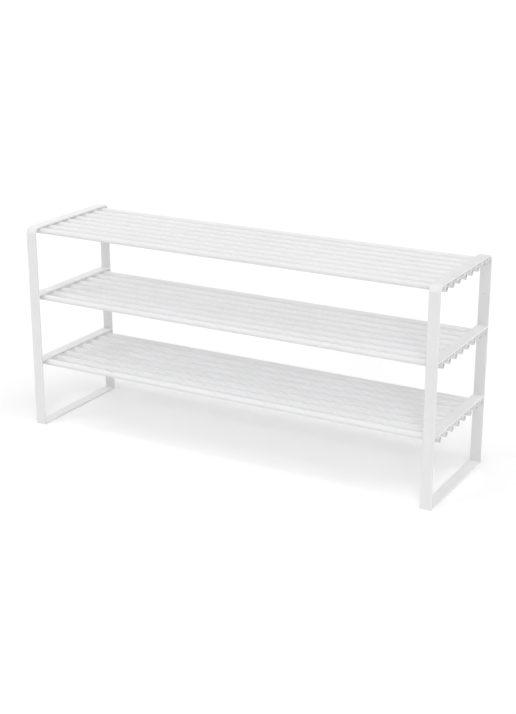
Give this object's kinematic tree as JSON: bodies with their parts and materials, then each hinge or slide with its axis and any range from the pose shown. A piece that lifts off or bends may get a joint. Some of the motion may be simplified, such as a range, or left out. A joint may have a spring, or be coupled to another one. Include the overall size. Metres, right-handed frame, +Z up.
{
  "type": "shoe rack",
  "caption": "Free-standing tiered shoe rack: two flat-bar side frames joined by shelves of round steel tubes, all welded and powder coated.",
  "frame": {"origin": "centre of the footprint, on the floor", "axes": "+X along the shelves to the right, +Y towards the back, +Z up"},
  "size_m": [1.022, 0.29, 0.48],
  "materials": {
    "flat_bar_coat": "satin powder coat",
    "tube_coat": "satin powder coat",
    "weld_coat": "satin powder coat over a weld bead"
  },
  "bodies": {
    "root": {"left_hoop": "flat_bar_coat", "left_floor_bar": "flat_bar_coat", "left_floor_bar_welds": "weld_coat", "left_middle_crossbar": "flat_bar_coat", "left_middle_crossbar_welds": "weld_coat", "left_lower_crossbar": "flat_bar_coat", "left_lower_crossbar_welds": "weld_coat", "left_top_tube_welds": "weld_coat", "left_middle_tube_welds": "weld_coat", "left_lower_tube_welds": "weld_coat", "right_hoop": "flat_bar_coat", "right_floor_bar": "flat_bar_coat", "right_floor_bar_welds": "weld_coat", "right_middle_crossbar": "flat_bar_coat", "right_middle_crossbar_welds": "weld_coat", "right_lower_crossbar": "flat_bar_coat", "right_lower_crossbar_welds": "weld_coat", "right_top_tube_welds": "weld_coat", "right_middle_tube_welds": "weld_coat", "right_lower_tube_welds": "weld_coat", "top_tube_1": "tube_coat", "top_tube_2": "tube_coat", "top_tube_3": "tube_coat", "top_tube_4": "tube_coat", "top_tube_5": "tube_coat", "top_tube_6": "tube_coat", "top_tube_7": "tube_coat", "top_tube_8": "tube_coat", "middle_tube_1": "tube_coat", "middle_tube_2": "tube_coat", "middle_tube_3": "tube_coat", "middle_tube_4": "tube_coat", "middle_tube_5": "tube_coat", "middle_tube_6": "tube_coat", "middle_tube_7": "tube_coat", "middle_tube_8": "tube_coat", "lower_tube_1": "tube_coat", "lower_tube_2": "tube_coat", "lower_tube_3": "tube_coat", "lower_tube_4": "tube_coat", "lower_tube_5": "tube_coat", "lower_tube_6": "tube_coat", "lower_tube_7": "tube_coat", "lower_tube_8": "tube_coat"}
  },
  "joints": []
}
